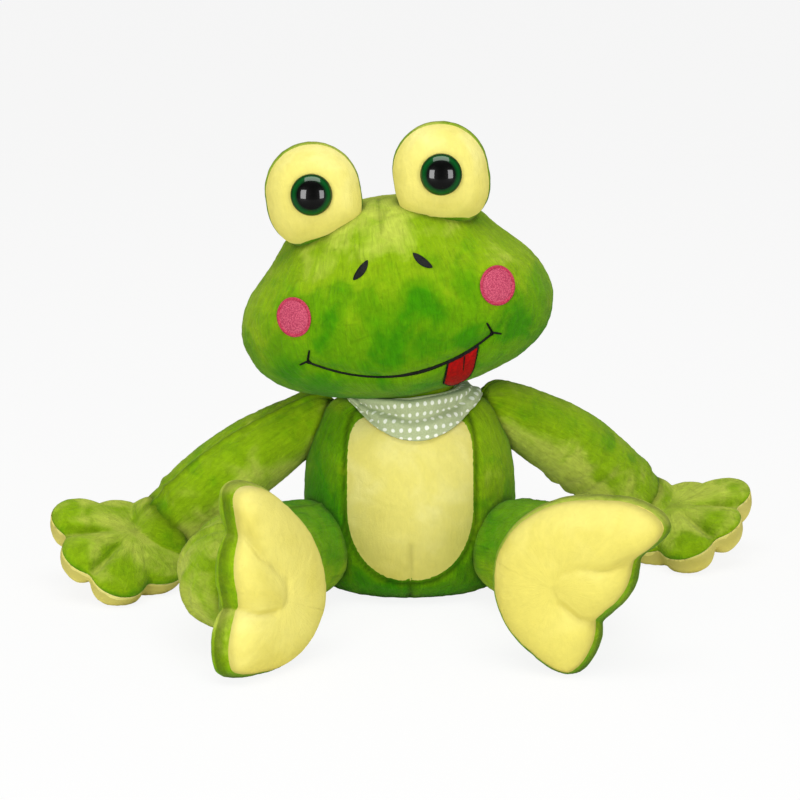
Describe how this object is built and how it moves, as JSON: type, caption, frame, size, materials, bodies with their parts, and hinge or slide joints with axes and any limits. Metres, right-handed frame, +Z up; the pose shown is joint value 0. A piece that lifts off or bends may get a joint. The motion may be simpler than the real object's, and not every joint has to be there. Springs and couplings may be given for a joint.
{
  "type": "plush frog",
  "caption": "Sitting stuffed frog with sprung neck, eye stalks, arms, wrists, hips and ankles, plastic eyes, sewn soles and a dotted neckerchief.",
  "frame": {"origin": "centre of the seat's flat resting face, on the floor", "axes": "+Z up, -Y out of the belly towards the viewer, +X towards the frog's left hand"},
  "size_m": [0.3859, 0.2414, 0.2524],
  "materials": {
    "green_plush": "short pile plush",
    "yellow_plush": "short pile plush",
    "rose_satin": "satin-stitch embroidery",
    "black_thread": "embroidery thread",
    "red_felt": "felt",
    "dotted_cotton": "woven cotton with raised dots",
    "eye_plastic": "polished dome",
    "washer_plastic": "moulded"
  },
  "bodies": {
    "torso": {"torso": "green_plush", "belly_panel": "yellow_plush", "neckerchief": "dotted_cotton"},
    "neck": {"neck": "green_plush"},
    "head": {"head": "green_plush", "mouth_stitching": "black_thread", "tongue": "red_felt", "cheek_left": "rose_satin", "cheek_right": "rose_satin", "nostril_left": "black_thread", "nostril_right": "black_thread"},
    "eye_stalk_left": {"eye_stalk_left": "green_plush", "eye_field_left": "yellow_plush", "eye_left": "eye_plastic", "eye_washer_left": "washer_plastic"},
    "arm_left": {"arm_left": "green_plush"},
    "hand_left": {"hand_left": "green_plush", "palm_left": "yellow_plush"},
    "leg_left": {"leg_left": "green_plush"},
    "foot_left": {"foot_left": "green_plush", "sole_left": "yellow_plush"},
    "eye_stalk_right": {"eye_stalk_right": "green_plush", "eye_field_right": "yellow_plush", "eye_right": "eye_plastic", "eye_washer_right": "washer_plastic"},
    "arm_right": {"arm_right": "green_plush"},
    "hand_right": {"hand_right": "green_plush", "palm_right": "yellow_plush"},
    "leg_right": {"leg_right": "green_plush"},
    "foot_right": {"foot_right": "green_plush", "sole_right": "yellow_plush"}
  },
  "joints": [
    {"name": "neck_turn", "type": "hinge", "parent": "torso", "child": "neck", "pos_m": [0, 0, 0.1055], "axis": [0, 0, 1], "range_deg": [-30, 30], "stiffness_Nm_per_rad": 0.4},
    {"name": "head_tilt", "type": "hinge", "parent": "neck", "child": "head", "pos_m": [0, 0, 0.1055], "axis": [0, 1, 0], "range_deg": [-2, 10], "stiffness_Nm_per_rad": 1},
    {"name": "stalk_flop_left", "type": "hinge", "parent": "head", "child": "eye_stalk_left", "pos_m": [0.01885, -0.02004, 0.20601], "axis": [0.9877, 0, 0.1564], "range_deg": [-8, 8], "stiffness_Nm_per_rad": 0.12},
    {"name": "shoulder_raise_left", "type": "hinge", "parent": "torso", "child": "arm_left", "pos_m": [0.05749, 0.006, 0.0915], "axis": [0, -1, 0], "range_deg": [-3, 12], "stiffness_Nm_per_rad": 0.8},
    {"name": "wrist_bend_left", "type": "hinge", "parent": "arm_left", "child": "hand_left", "pos_m": [0.12802, 0.05644, 0.02696], "axis": [0.5915, 0.6963, 0.4067], "range_deg": [-3, 20], "stiffness_Nm_per_rad": 0.3},
    {"name": "hip_splay_left", "type": "hinge", "parent": "torso", "child": "leg_left", "pos_m": [0.05756, -0.03414, 0.0325], "axis": [0, 0, 1], "range_deg": [-10, 12], "stiffness_Nm_per_rad": 0.6},
    {"name": "ankle_bend_left", "type": "hinge", "parent": "leg_left", "child": "foot_left", "pos_m": [0.07932, -0.12156, 0.03753], "axis": [-0.3565, -0.0746, -0.9313], "range_deg": [-10, 10], "stiffness_Nm_per_rad": 0.4},
    {"name": "stalk_flop_right", "type": "hinge", "parent": "head", "child": "eye_stalk_right", "pos_m": [-0.04717, -0.02004, 0.19555], "axis": [0.9877, 0, 0.1564], "range_deg": [-8, 8], "stiffness_Nm_per_rad": 0.12},
    {"name": "shoulder_raise_right", "type": "hinge", "parent": "torso", "child": "arm_right", "pos_m": [-0.0605, 0.006, 0.087], "axis": [0, 1, 0], "range_deg": [-3, 12], "stiffness_Nm_per_rad": 0.8},
    {"name": "wrist_bend_right", "type": "hinge", "parent": "arm_right", "child": "hand_right", "pos_m": [-0.12955, 0.00018, 0.03235], "axis": [0.5938, -0.6155, -0.5182], "range_deg": [-3, 20], "stiffness_Nm_per_rad": 0.3},
    {"name": "hip_splay_right", "type": "hinge", "parent": "torso", "child": "leg_right", "pos_m": [-0.05756, -0.03413, 0.0325], "axis": [0, 0, -1], "range_deg": [-10, 12], "stiffness_Nm_per_rad": 0.6},
    {"name": "ankle_bend_right", "type": "hinge", "parent": "leg_right", "child": "foot_right", "pos_m": [-0.08403, -0.12507, 0.03158], "axis": [0.152, 0.3671, 0.9177], "range_deg": [-10, 10], "stiffness_Nm_per_rad": 0.4}
  ]
}
